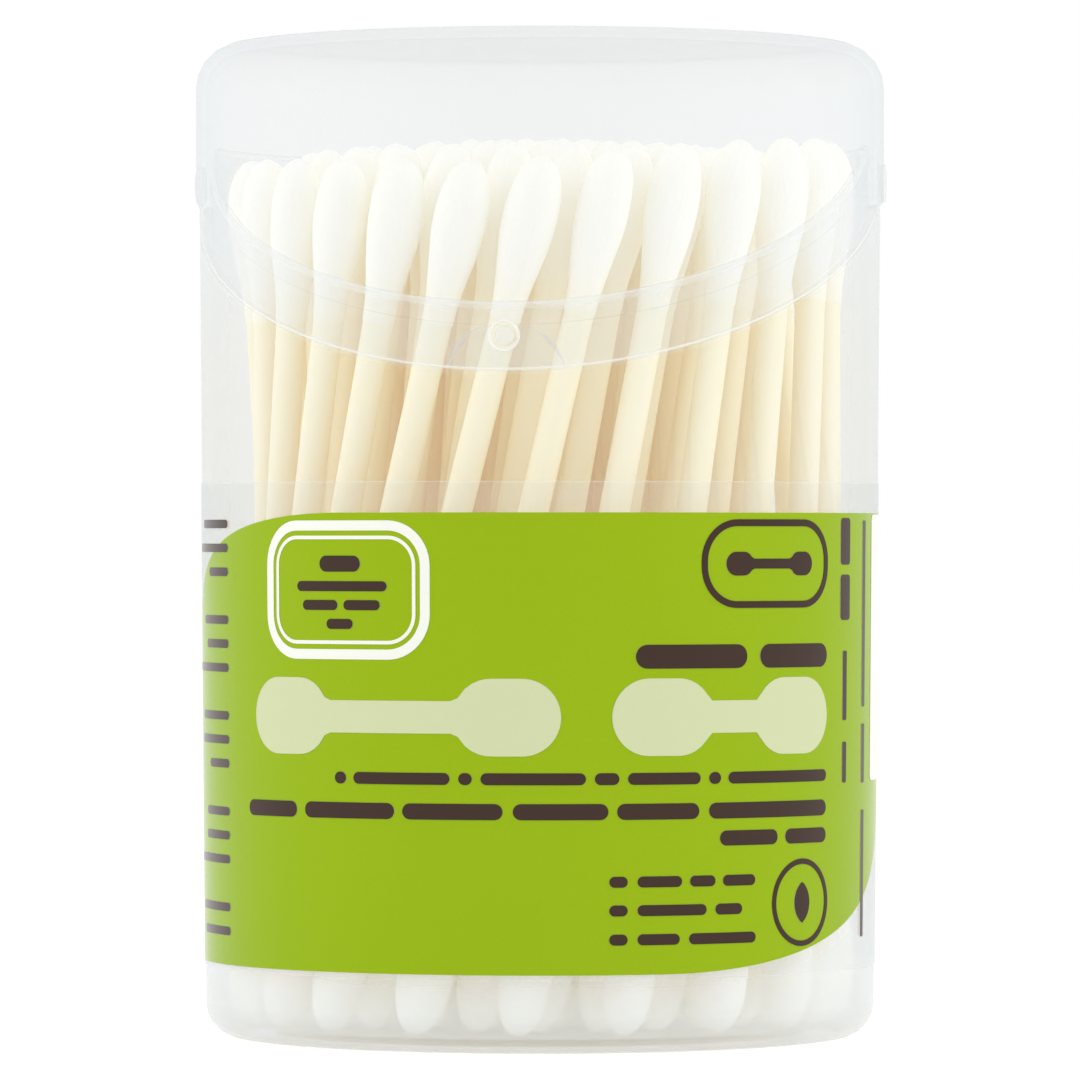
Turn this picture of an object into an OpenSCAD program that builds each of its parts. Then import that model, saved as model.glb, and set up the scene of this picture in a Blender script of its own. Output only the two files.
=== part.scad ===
/* [Cotton buds] */
// Overall length of one bud
bud_len = 73; // [66:0.5:80]
// Largest diameter of a cotton tip
head_d = 4.6; // [4:0.1:5.2]
// Length of cotton on each end
head_len = 13.5; // [10:0.5:16]
// Distance from the end of a bud to its thickest place
head_mid = 5; // [4:0.5:7]
// Diameter of the rolled paper stem
stem_d = 2.45; // [2:0.05:2.8]
// Thickness of the cotton where it thins out on the stem
feather_t = 0.18; // [0.15:0.01:0.3]
// Cotton beyond the end of the stem
end_cotton = 2.5; // [1.5:0.5:4]

/* [Bundle] */
// Rings of buds around the middle one
rings = 5; // [3:1:6]
// Buds in the outer ring
outer_count = 26; // [18:1:26]
// Turn of the inner rings between their lower and upper ends, in degrees
twist = 40; // [20:1:40]
// Largest turn in the outer ring, in degrees
twist_high = 50; // [40:1:50]
// Smallest turn in the outer ring, in degrees
twist_low = 14; // [14:1:40]
// Arc over which the outer ring's turn falls from largest to smallest
fall_arc = 75; // [75:5:120]
// Bearing of the largest turn, from the front towards the right
fall_start = 0; // [-60:5:60]

/* [Tub] */
// Thickness of the tub's side wall
tub_wall = 0.85; // [0.6:0.05:1.1]
// How much the foot is narrower than the shoulder, in radius
taper = 0.55; // [0:0.05:0.8]
// Outer rounding at the foot
foot_round = 2.8; // [2:0.1:4]
// Thickness of the floor
floor_t = 1.1; // [0.9:0.1:2]
// Depth of the shallow recess under the floor
recess_h = 0.35; // [0.2:0.05:0.5]
// Width of the ring that the tub stands on
stand_w = 3; // [2:0.5:6]
// Wall of the neck that the lid slips over
neck_wall = 0.75; // [0.5:0.05:1]
// Height of the neck above the shoulder
neck_h = 4.9; // [4:0.1:6]
// Height of the shoulder ring that carries the neck
shoulder_h = 1.3; // [1:0.1:3]
// Height of the bead round the neck's rim
bead_h = 1.65; // [1:0.05:2]
// How far the bead stands out
bead_t = 0.1; // [0.05:0.01:0.12]

/* [Lid] */
// Thickness of the lid's wall
lid_wall = 0.8; // [0.6:0.05:1.1]
// Thickness of the lid's top
lid_top_t = 0.9; // [0.7:0.05:1.5]
// Air between the buds and the lid's top
headroom = 7; // [3:0.5:12]
// Height of the cap at its sides and back
cap_h = 13.35; // [11:0.05:16]
// How much lower the apron reaches at the front than at the sides
apron_drop = 14.4; // [8:0.1:16]
// How far the cap stands out past the apron
cap_step = 0.3; // [0.1:0.05:0.6]
// Height of the slope between the apron and the cap
step_h = 0.8; // [0.4:0.1:1.5]
// Outer rounding at the lid's top
top_round = 3.7; // [2:0.1:5]
// Radius of the round pips at the sides
pip_r = 1.6; // [1:0.1:2.5]
// How far the pips stand out
pip_t = 0.2; // [0.1:0.05:0.3]
// Height of the pips above the cap's lower edge
pip_up = 1.7; // [1.6:0.1:4]

/* [Catch] */
// Radius of the round hole in the apron
hole_r = 1.32; // [1:0.02:1.6]
// Radius of the nub that sits in the hole
nub_r = 0.8; // [0.5:0.05:0.9]
// Height of the hole above the apron's lower edge
hole_up = 2.9; // [2:0.1:4]
// How far the nub enters the hole
nub_in = 0.1; // [0.05:0.01:0.12]
// Width of the raised ring round the hole
ring_w = 0.25; // [0.15:0.05:0.6]
// How far the ring stands out from the apron
ring_t = 0.1; // [0.05:0.01:0.2]
// Width of the arched pad at its foot
pad_w = 9.9; // [6:0.1:12]
// Width of the arched pad at its top
pad_top_w = 6.6; // [4:0.1:8]
// How far the pad stands out from the neck
pad_t = 0.08; // [0.04:0.01:0.1]

/* [Hinge] */
// Radius of the pin between the ears
pin_r = 0.8; // [0.6:0.05:1.2]
// Wall of the lid's knuckle around the pin
knuckle_wall = 0.75; // [0.5:0.05:1.2]
// Width of the knuckle
knuckle_w = 9; // [6:0.5:14]
// Thickness of each ear
ear_t = 1.8; // [1:0.1:3]
// Radius of the ears around the pin
ear_r = 1.5; // [1.3:0.05:1.6]
// Slope of the ears' lower edge, in degrees
ear_slope = 47; // [35:1:60]
// Mouth of the knuckle, through which it snaps over the pin
mouth_w = 1.3; // [0.8:0.05:1.4]
// How far the pin's axis lies below the cap's edge
hinge_down = 0.2; // [0:0.05:0.4]

/* [Label] */
// Lower edge of the clear film above the floor
label_low = 6; // [4:0.5:12]
// Bare wall between the film and the lid's front edge
label_top_gap = 8.7; // [6:0.1:14]
// Clear film left below the green field
film_low = 0.4; // [0.2:0.1:2]
// Clear film left above the green field
film_top = 2.5; // [0.5:0.1:4]
// Turn of the label from the front towards the right, in degrees
label_turn = 6; // [-20:1:20]
// Width of the gap between the film's two ends at the back
film_seam = 1; // [0.5:0.1:3]
// Thickness of the film
film_t = 0.06; // [0.04:0.01:0.1]
// Thickness of one layer of ink
ink_t = 0.04; // [0.03:0.01:0.06]
// Half the width of the green field
field_half = 41; // [30:1:44]

/* [Fits] */
// Gap between neighbouring buds at their thickest
bud_gap = 0.15; // [0.12:0.01:0.3]
// Extra radius of the outer ring
ring_slack = 0.3; // [0.3:0.05:1]
// Gap between the outer ring and the neck's bore
wall_gap = 0.15; // [0.1:0.05:1]
// Gap between the buds and the tub's floor
rest_gap = 0.25; // [0.2:0.05:0.3]
// Gap between the cotton and the stem inside it
wrap_gap = 0.1; // [0.06:0.01:0.12]
// Gap between the neck and the lid's apron
fit_gap = 0.2; // [0.15:0.01:0.4]
// Gap between the lid's edge and the tub's shoulder
seat_gap = 0.1; // [0.06:0.01:0.3]
// Running clearance around the hinge pin
run_gap = 0.05; // [0.03:0.01:0.09]
// Gap between the knuckle and each ear
ear_gap = 0.25; // [0.15:0.05:0.5]
// How far the ears' upper edge lies below the shoulder
web_gap = 0.25; // [0.15:0.05:0.5]
// Gap between the knuckle and the tub's wall
back_gap = 0.35; // [0.3:0.05:0.8]
// Gap between one layer of the label and the next
layer_gap = 0.01; // [0.01:0.005:0.02]

/* [Hidden] */
RINGS = [for (k = [0:rings]) k];
$fn = 96;
eps = 0.01;
big = 200;

// Radii, worked out from the bundle outwards
head_r = head_d / 2;
stem_r = stem_d / 2;
ring_pitch = head_d + bud_gap;
outer_ring_r = rings * ring_pitch + ring_slack;
bore_r = outer_ring_r + head_r + wall_gap;
neck_r = bore_r + neck_wall;
apron_in_r = neck_r + fit_gap;
shoulder_r = apron_in_r + lid_wall;
foot_r = shoulder_r - taper;
cap_r = shoulder_r + cap_step;
cap_in_r = cap_r - lid_wall;

// Heights, worked out from the buds
bud_rest = floor_t + rest_gap;
top_z = bud_rest + bud_len + headroom + lid_top_t;
edge_z = top_z - cap_h;
front_edge_z = edge_z - apron_drop;
hole_z = front_edge_z + hole_up;
lip_z = edge_z + step_h / 2;

// Hinge axis, parallel to X behind the shoulder
knuckle_r = pin_r + run_gap + knuckle_wall;
hinge_y = shoulder_r + knuckle_r + back_gap;
hinge_z = edge_z - hinge_down;

// Label; its artwork is drawn in hundredths of the green field's height
label_high = front_edge_z - label_top_gap;
field_low = label_low + film_low;
field_high = label_high - film_top;
field_h = field_high - field_low;
art_unit = field_h / 100;
label_r = wall_r((label_low + label_high) / 2);
layer_1 = layer_gap;
layer_2 = layer_1 + film_t + layer_gap;
layer_3 = layer_2 + ink_t + layer_gap;

// Outer radius of the side wall at height z
function wall_r(z) = foot_r + taper * z / edge_z;
// Height of the lid's edge at depth y: level behind the middle, sloping down in front
function edge_at(y) = edge_z + apron_drop * min(y, 0) / shoulder_r;
// Angle round the wall of a length u in millimetres
function round_angle(u) = u * 180 / (PI * label_r);
// Bearing of a place u in the artwork, counted from the label's middle towards the right
function bearing(u) = label_turn + round_angle(u * art_unit);

// Buds in ring k, and the radius that their ends stand on
function ring_count(k) = k == 0 ? 1 : k < rings ? 6 * k : outer_count;
function ring_r(k) = k < rings ? k * ring_pitch : outer_ring_r;
// Bearing of the upper end of bud i in ring k; odd rings start half a step round
function top_bearing(k, i) = (i + (k % 2) / 2) * 360 / ring_count(k);
// Share of the way that the outer ring's turn has fallen: quickly over the fall arc, slowly back over the rest
function fallen(a) = a < fall_arc ? a / fall_arc : (360 - a) / (360 - fall_arc);
function turn(k, a) = k < rings ? twist
    : twist_high - (twist_high - twist_low) * fallen((a - fall_start + 720) % 360);
// Point on a circle of radius r at bearing a from the front, towards the right
function around(r, a) = [r * sin(a), -r * cos(a)];

// Radius of the cotton at distance s from its end: an elliptic dome, then a slow taper on to the stem
function cotton_r(s) = s < head_mid
    ? head_r * sqrt(max(0, 1 - pow(1 - s / head_mid, 2.4)))
    : feather_r + (head_r - feather_r) * (1 + cos(180 * (s - head_mid) / (head_len - head_mid))) / 2;
feather_r = stem_r + wrap_gap + feather_t;

// Half outline of a cup with a rounded foot, r_low at the foot and r_high at height h
module cup_outline(r_low, r_high, h, fillet) {
    polygon([[0, 0], [r_low - fillet, 0], [r_low - fillet, fillet], [0, fillet]]);
    intersection() {
        translate([r_low - fillet, fillet]) circle(fillet);
        translate([r_low - fillet - eps, 0]) square([fillet + 1, fillet]);
    }
    polygon([[0, fillet], [r_low, fillet], [r_high, h], [0, h]]);
}

// Everything below the lid's edge, raised by lift
module below_edge(lift) {
    rotate([90, 0, 90]) linear_extrude(height = big, center = true)
        polygon([
            [-big, edge_at(-big) + lift], [0, edge_z + lift], [big, edge_z + lift],
            [big, -big], [-big, edge_at(-big) - big]
        ]);
}

// A plain ring from z_low to z_high
module ring(r_in, r_out, z_low, z_high) {
    translate([0, 0, z_low]) difference() {
        cylinder(r = r_out, h = z_high - z_low);
        translate([0, 0, -1]) cylinder(r = r_in, h = z_high - z_low + 2);
    }
}

// Side wall and floor, cut off along the lid's edge
module tub_wall_shell() {
    difference() {
        rotate_extrude() cup_outline(foot_r, wall_r(edge_z), edge_z, foot_round);
        translate([0, 0, floor_t])
            rotate_extrude()
                cup_outline(foot_r - tub_wall, wall_r(edge_z) - tub_wall, edge_z, foot_round - tub_wall);
        translate([0, 0, -1]) cylinder(r = foot_r - foot_round - stand_w, h = recess_h + 1);
    }
}

// Ring under the shoulder, which joins the wide wall to the narrower neck
module shoulder_ring() {
    difference() {
        intersection() {
            rotate_extrude() polygon([
                [bore_r, 0], [wall_r(0) - eps, 0], [wall_r(edge_z) - eps, edge_z], [bore_r, edge_z]
            ]);
            below_edge(-seat_gap);
        }
        below_edge(-seat_gap - shoulder_h);
    }
}

// Neck inside the lid, with a bead along its sloping rim
module neck() {
    difference() {
        intersection() {
            ring(bore_r, neck_r, 0, top_z);
            below_edge(neck_h);
        }
        below_edge(-seat_gap - shoulder_h);
    }
    difference() {
        intersection() {
            ring(bore_r, neck_r + bead_t, 0, top_z);
            below_edge(neck_h);
        }
        below_edge(neck_h - bead_h);
    }
}

// Arched pad on the front of the neck, with the nub that sits in the lid's hole
module catch_pad() {
    pad_low = front_edge_z - shoulder_h;
    pad_high = edge_at(-neck_r) + neck_h - bead_h;
    corner_r = pad_top_w / 6;
    intersection() {
        ring(bore_r, neck_r + pad_t, pad_low, pad_high + corner_r);
        rotate([90, 0, 0]) linear_extrude(height = big) {
            polygon([
                [-pad_w / 2, pad_low], [pad_w / 2, pad_low],
                [pad_top_w / 2, pad_high - corner_r], [-pad_top_w / 2, pad_high - corner_r]
            ]);
            translate([-pad_top_w / 2 + corner_r, pad_high - 2 * corner_r])
                square([pad_top_w - 2 * corner_r, 2 * corner_r]);
            for (side = [-1, 1])
                translate([side * (pad_top_w / 2 - corner_r), pad_high - corner_r]) circle(corner_r);
        }
    }
    translate([0, -neck_r + neck_wall / 2, hole_z]) rotate([90, 0, 0])
        cylinder(r = nub_r, h = neck_wall / 2 + fit_gap + nub_in);
}

// Two ears behind the shoulder and the pin between them
module hinge_ears() {
    touch = [hinge_y + ear_r * sin(ear_slope), hinge_z - ear_r * cos(ear_slope)];
    root_y = sqrt(pow(shoulder_r - tub_wall / 2, 2) - pow(ear_out, 2)) - tub_wall / 4;
    root_z = touch[1] - (touch[0] - root_y) * tan(ear_slope);
    top = edge_z - seat_gap - web_gap;
    for (x = [-ear_out, ear_out - ear_t])
        translate([x, 0, 0]) rotate([90, 0, 90]) linear_extrude(height = ear_t) {
            translate([hinge_y, hinge_z]) circle(ear_r);
            polygon([[root_y, root_z], [root_y, top], [hinge_y, top], touch]);
        }
    translate([-ear_out + ear_t / 2, hinge_y, hinge_z]) rotate([0, 90, 0])
        cylinder(r = pin_r, h = 2 * ear_out - ear_t);
}
ear_out = knuckle_w / 2 + ear_gap + ear_t;

module tub() {
    color([0.90, 0.93, 0.92, 0.35]) union() {
        intersection() {
            tub_wall_shell();
            below_edge(-seat_gap);
        }
        shoulder_ring();
        neck();
        catch_pad();
        hinge_ears();
    }
}

// Knuckle that snaps over the pin, on a short arm from the cap
module knuckle() {
    translate([-knuckle_w / 2, hinge_y, hinge_z]) rotate([0, 90, 0])
        cylinder(r = knuckle_r, h = knuckle_w);
    translate([-knuckle_w / 2, cap_in_r, edge_z])
        cube([knuckle_w, hinge_y - cap_in_r, hinge_z + knuckle_r - edge_z]);
}

// Raised ring round the catch hole, on the apron's outside
module hole_ring() {
    root = apron_in_r + lid_wall / 2;
    translate([0, -root, hole_z]) rotate([90, 0, 0])
        cylinder(r = hole_r + ring_w, h = wall_r(hole_z) + ring_t - root);
}

module lid() {
    color([0.92, 0.94, 0.96, 0.4]) difference() {
        union() {
            difference() {
                translate([0, 0, top_z]) mirror([0, 0, 1])
                    rotate_extrude() {
                        cup_outline(cap_r, cap_r, top_z - lip_z, top_round);
                        polygon([
                            [0, top_z - lip_z - eps], [cap_r, top_z - lip_z - eps],
                            [cap_r, top_z - lip_z], [wall_r(lip_z - step_h), top_z - lip_z + step_h],
                            [wall_r(front_edge_z), top_z - front_edge_z + 1], [0, top_z - front_edge_z + 1]
                        ]);
                    }
                translate([0, 0, front_edge_z - 2])
                    cylinder(r = apron_in_r, h = lip_z - front_edge_z + 2 + eps);
                translate([0, 0, top_z - lid_top_t]) mirror([0, 0, 1])
                    rotate_extrude()
                        cup_outline(cap_in_r, cap_in_r, top_z - lid_top_t - lip_z, top_round - lid_wall);
                below_edge(0);
            }
            knuckle();
            hole_ring();
            for (side = [-1, 1])
                translate([side * (cap_r - lid_wall / 2), 0, edge_z + pip_up]) rotate([0, side * 90, 0])
                    cylinder(r = pip_r, h = lid_wall / 2 + pip_t);
        }
        translate([0, -apron_in_r + 1, hole_z]) rotate([90, 0, 0])
            cylinder(r = hole_r, h = lid_wall + 2);
        translate([-knuckle_w / 2 - 1, hinge_y, hinge_z]) rotate([0, 90, 0])
            cylinder(r = pin_r + run_gap, h = knuckle_w + 2);
        translate([-knuckle_w / 2 - 1, hinge_y - mouth_w / 2, hinge_z - knuckle_r - 1])
            cube([knuckle_w + 2, mouth_w, knuckle_r + 1]);
    }
}

// One layer of the label: a thin skin that follows the tapered wall
module skin(offset_in, thick, z_low, z_high) {
    rotate_extrude() polygon([
        [wall_r(z_low) + offset_in, z_low], [wall_r(z_low) + offset_in + thick, z_low],
        [wall_r(z_high) + offset_in + thick, z_high], [wall_r(z_high) + offset_in, z_high]
    ]);
}

// Stands a flat shape up against the wall, u round from the label's middle and v above the field's foot
module place(u, v) {
    rotate([0, 0, bearing(u)]) translate([0, -label_r * 0.6, field_low + v * art_unit])
        rotate([90, 0, 0]) linear_extrude(height = label_r * 0.45) scale(art_unit) children();
}

// Bar with round ends
module pill(w, h) {
    square([w - h, h], center = true);
    for (side = [-1, 1]) translate([side * (w - h) / 2, 0]) circle(h / 2, $fn = 32);
}

// Box with round corners
module round_box(w, h, r) {
    square([w - 2 * r, h], center = true);
    square([w, h - 2 * r], center = true);
    for (x = [-1, 1], y = [-1, 1])
        translate([x * (w / 2 - r), y * (h / 2 - r)]) circle(r, $fn = 48);
}

// Outline of a box with round corners
module round_frame(w, h, r, line) {
    difference() {
        round_box(w, h, r);
        round_box(w - 2 * line, h - 2 * line, r - line);
    }
}

// Picture of a bud lying level
module bud_sign(w, h) {
    square([w - h, h * 0.42], center = true);
    for (side = [-1, 1]) translate([side * (w / 2 - h * 0.7), 0]) pill(h * 1.4, h);
}

// Row of bars of height h at height v, each from its first to its second place round the wall
module bar_row(v, h, spans) {
    for (s = spans) place((s[0] + s[1]) / 2, v) pill(s[1] - s[0], h);
}

module label_film() {
    color([0.97, 0.98, 0.97, 0.3]) difference() {
        skin(layer_1, film_t, label_low, label_high);
        rotate([0, 0, label_turn]) translate([-film_seam / 2, 0, 0]) cube([film_seam, big, big]);
    }
}

// Leaf-like field with two square and two widely rounded corners
module green_field() {
    half = round_angle(field_half);
    color([0.62, 0.74, 0.16]) difference() {
        rotate([0, 0, label_turn - 90 - half]) rotate_extrude(angle = 2 * half) polygon([
            [wall_r(field_low) + layer_2, field_low], [wall_r(field_low) + layer_2 + ink_t, field_low],
            [wall_r(field_high) + layer_2 + ink_t, field_high], [wall_r(field_high) + layer_2, field_high]
        ]);
        leaf_corner(-1, 24.7, 65.2, 1);
        leaf_corner(1, 37.5, 84.2, -1);
    }
}

// Removes one corner of the field: side is left or right, up is top or bottom, b and a the ellipse's reach
module leaf_corner(side, b, a, up) {
    steps = 12;
    mid_u = side * (field_half / art_unit - a / 2);
    start_v = up > 0 ? 100 - b : b;
    place(mid_u, start_v) polygon(concat(
        [for (i = [0:steps]) [
            side * flat_x(a * cos(90 * i / steps) - a / 2),
            up * b * sin(90 * i / steps)
        ]],
        [[side * flat_x(-a / 2), up * 2 * b], [side * a, up * 2 * b], [side * a, 0]]
    ));
}
// Sideways place, seen square on, of a place u round the wall
function flat_x(u) = label_r / art_unit * sin(round_angle(u * art_unit));

module print_layer() {
    intersection() {
        skin(layer_3, ink_t, label_low + film_low, label_high);
        children();
    }
}

module white_print() {
    color([0.97, 0.98, 0.95]) print_layer() {
        place(-46.2, 83.2) round_frame(44, 30.2, 9.8, 2.2);
        place(-46.2, 83.2) round_frame(37.5, 23.6, 6.5, 0.8);
        place(122.3, 70.1) round_box(46.2, 59.2, 1.6);
    }
}

module cream_print() {
    color([0.84, 0.87, 0.70]) print_layer() {
        place(-34.2, 55.7) bud_sign(77.2, 16.8);
        place(44.6, 55.7) bud_sign(58.2, 16.8);
    }
}

module dark_print() {
    color([0.33, 0.24, 0.18]) print_layer() {
        place(54.9, 88.9) round_frame(37.8, 19.3, 9, 1.5);
        place(54.9, 88.9) bud_sign(25.5, 5.2);
        bar_row(88.9, 3.5, [[-51.6, -40.8]]);
        bar_row(84, 2.2, [[-58.2, -34.2]]);
        bar_row(79.9, 2.2, [[-56.5, -46.7], [-45.1, -35.9]]);
        bar_row(75.8, 2.2, [[-49.7, -42.7]]);
        bar_row(68.8, 5.2, [[20.7, 47.8], [51.4, 73.6]]);
        bar_row(42.4, 2.6, [[-47.6, -44.6], [-42.7, -19.8], [-17.9, -14.9], [-13, 9.8], [11.7, 17.1],
            [19, 35.9], [38, 41], [42.9, 73.6]]);
        bar_row(35.3, 3.5, [[-75.8, -58.7], [-56.2, -32.6], [-30.7, -8.2], [-6, 14.7], [16.6, 35.6],
            [38, 73.6]]);
        bar_row(29.3, 3.3, [[40.8, 56.8], [59.2, 73.6]]);
        bar_row(20.1, 2.4, [[14.9, 19], [21.2, 31.5], [33.4, 39.7], [41.6, 50.3]]);
        bar_row(13.9, 2.4, [[14.9, 19], [21.2, 37.5], [39.7, 46.7]]);
        bar_row(7.6, 2.4, [[14.9, 19], [21.2, 31], [33.2, 50.5]]);
        leaf_badge(64.9, 14.7, 9.6, 8.4);
        left_column();
        for (row = [[76.4, 10, 4.6], [88.6, 10.3, 4.6], [54.3, 15.3, 1.9], [40.5, 9, 1.9]])
            upright_bar(81.8, row);
        for (row = [[57.1, 41.3, 1.9], [40.2, 13.1, 1.9], [6, 28.2, 1.9]]) upright_bar(92.9, row);
    }
}

// Ring with a pointed leaf inside
module leaf_badge(u, v, r_out, r_in) {
    leaf_r = r_in * 0.62;
    place(u, v) {
        difference() {
            circle(r_out);
            circle(r_in);
        }
        intersection() {
            translate([leaf_r / 2, 0]) circle(leaf_r);
            translate([-leaf_r / 2, 0]) circle(leaf_r);
        }
    }
}

// Column of lines at the left, in groups of three, which all end at one place
module left_column() {
    end_u = -85.6;
    top_v = 97.6;
    pitch = 5.3;
    for (i = [0:17])
        if (i % 4 != 3) place(end_u - line_len(i) / 2, top_v - pitch * i) pill(line_len(i), 2.2);
}
// Length of line i in the column at the left
function line_len(i) = 19 + 6 * sin(i * 137);

// Upright bar at place u; row holds the height of its foot, its height and its width
module upright_bar(u, row) {
    place(u, row[0] + row[1] / 2) round_box(row[2], row[1], row[2] / 5);
}

// Stands what is drawn along +Z on the line of bud i in ring k
module on_bud(k, i) {
    a = top_bearing(k, i);
    foot = around(ring_r(k), a - turn(k, a));
    run = around(ring_r(k), a) - foot;
    translate([foot[0], foot[1], bud_rest])
        rotate([0, asin(norm(run) / bud_len), atan2(run[1], run[0])]) children();
}

module stem() {
    translate([0, 0, end_cotton]) cylinder(r = stem_r, h = bud_len - 2 * end_cotton, $fn = 32);
}

// Wound cotton with a blind socket for the stem
module tip() {
    dome = 6;
    slope = 6;
    difference() {
        rotate_extrude($fn = 32) polygon(concat(
            [[0, 0]],
            [for (i = [1:dome]) let(s = head_mid * (1 - cos(90 * i / dome))) [cotton_r(s), s]],
            [for (i = [1:slope]) let(s = head_mid + (head_len - head_mid) * i / slope) [cotton_r(s), s]],
            [[0, head_len]]
        ));
        translate([0, 0, end_cotton - wrap_gap]) cylinder(r = stem_r + wrap_gap, h = bud_len, $fn = 32);
    }
}

module stem_ring(k) {
    color([0.93, 0.91, 0.80]) for (i = [0:ring_count(k) - 1]) on_bud(k, i) stem();
}

module bottom_tip_ring(k) {
    color([0.97, 0.97, 0.95]) for (i = [0:ring_count(k) - 1]) on_bud(k, i) tip();
}

module top_tip_ring(k) {
    color([0.98, 0.98, 0.96]) for (i = [0:ring_count(k) - 1])
        on_bud(k, i) translate([0, 0, bud_len]) mirror([0, 0, 1]) tip();
}

tub();
lid();
label_film();
green_field();
white_print();
cream_print();
dark_print();
for (k = RINGS) {
    stem_ring(k);
    top_tip_ring(k);
    bottom_tip_ring(k);
}
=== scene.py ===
"""Looks for a clear plastic tub of paper-stemmed cotton buds, built round the packed CAD model."""
import math

import bmesh
import bpy
import numpy as np
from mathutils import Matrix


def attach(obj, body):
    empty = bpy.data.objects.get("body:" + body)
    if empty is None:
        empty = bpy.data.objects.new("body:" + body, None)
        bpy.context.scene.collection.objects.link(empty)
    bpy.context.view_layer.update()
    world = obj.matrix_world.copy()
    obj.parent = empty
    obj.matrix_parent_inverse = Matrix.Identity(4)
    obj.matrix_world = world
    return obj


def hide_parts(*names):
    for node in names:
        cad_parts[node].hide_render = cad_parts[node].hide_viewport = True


bl_info = {
    "name": "Cotton swab tub",
    "version": (1, 0, 0),
    "blender": (4, 5, 0),
    "location": "View3D > Sidebar > Swab tub",
    "description": "Builds the clear tub, its lid, the printed label and the cotton buds",
    "category": "Object",
}

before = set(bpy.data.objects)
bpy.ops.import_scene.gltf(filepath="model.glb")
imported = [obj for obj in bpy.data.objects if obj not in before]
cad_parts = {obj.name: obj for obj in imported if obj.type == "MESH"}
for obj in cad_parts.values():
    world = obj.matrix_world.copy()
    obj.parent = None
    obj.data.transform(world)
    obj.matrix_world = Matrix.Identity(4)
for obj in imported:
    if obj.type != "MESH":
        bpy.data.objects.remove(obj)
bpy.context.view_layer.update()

MM = 0.001
RINGS = 6           # Rings of buds, with the middle bud as the first
BEARINGS = 288      # Steps of the mouldings and the film round the tub
SHARP = 40          # Degrees past which an edge is shown sharp


# Properties that a user would change

def length(name, mm, text):
    """Length property with its default given in millimetres."""
    return bpy.props.FloatProperty(
        name=name, description=text, default=mm * MM, min=0.0, unit="LENGTH", precision=5)


def angle(name, degrees, text):
    """Angle property with its default given in degrees."""
    return bpy.props.FloatProperty(
        name=name, description=text, default=math.radians(degrees), subtype="ANGLE")


def share(name, value, text):
    """Plain number from nought to one."""
    return bpy.props.FloatProperty(
        name=name, description=text, default=value, min=0.0, max=1.0, subtype="FACTOR")


def colour(name, rgb, text):
    """Colour property with its default given as screen values from 0 to 255."""
    linear = [((c / 255 + 0.055) / 1.055) ** 2.4 if c > 10 else c / 255 / 12.92 for c in rgb]
    return bpy.props.FloatVectorProperty(
        name=name, description=text, default=linear, min=0.0, max=1.0, size=3, subtype="COLOR")


class TubSizes(bpy.types.PropertyGroup):
    """Sizes of the tub moulding."""
    foot_r: length("Foot radius", 27.7, "Radius of the side wall at the table")
    taper: length("Taper", 0.55, "Widening of the wall up to the lid's edge")
    wall: length("Wall", 0.85, "Thickness of the side wall")
    foot_round: length("Foot rounding", 2.8, "Radius where the wall turns under")
    floor: length("Floor", 1.1, "Height of the inside of the floor")
    recess: length("Recess", 0.35, "Height of the hollow under the floor")
    stand: length("Standing ring", 3.0, "Width of the flat ring that the tub stands on")
    edge_z: length("Lid edge", 68.9, "Height of the lid's edge behind")
    drop: length("Front drop", 14.4, "How far the lid's edge falls to the front")
    shoulder_r: length("Shoulder radius", 28.25, "Radius of the shoulder under the lid")
    neck_r: length("Neck radius", 27.25, "Outer radius of the neck inside the lid")
    bore_r: length("Bore radius", 26.5, "Inner radius of the neck")
    neck_h: length("Neck height", 4.9, "Height of the neck above the lid's edge")
    bead_h: length("Bead height", 1.65, "Height of the bead along the neck's rim")
    bead: length("Bead", 0.1, "How far the bead stands out")
    shoulder: length("Shoulder", 1.3, "Thickness of the shoulder")
    seat_gap: length("Seat gap", 0.1, "Gap between the shoulder and the lid")
    pad_w: length("Pad width", 9.9, "Width of the arched catch pad at its foot")
    pad_top_w: length("Pad top width", 6.6, "Width of the catch pad at its top")
    pad: length("Pad thickness", 0.08, "How far the catch pad stands out")
    nub_r: length("Nub radius", 0.8, "Radius of the nub in the lid's hole")
    nub_reach: length("Nub reach", 27.55, "Distance of the nub's face from the axis")
    mist_h: length("Mist height", 9.0, "Height up to which the foot is milky")


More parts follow.
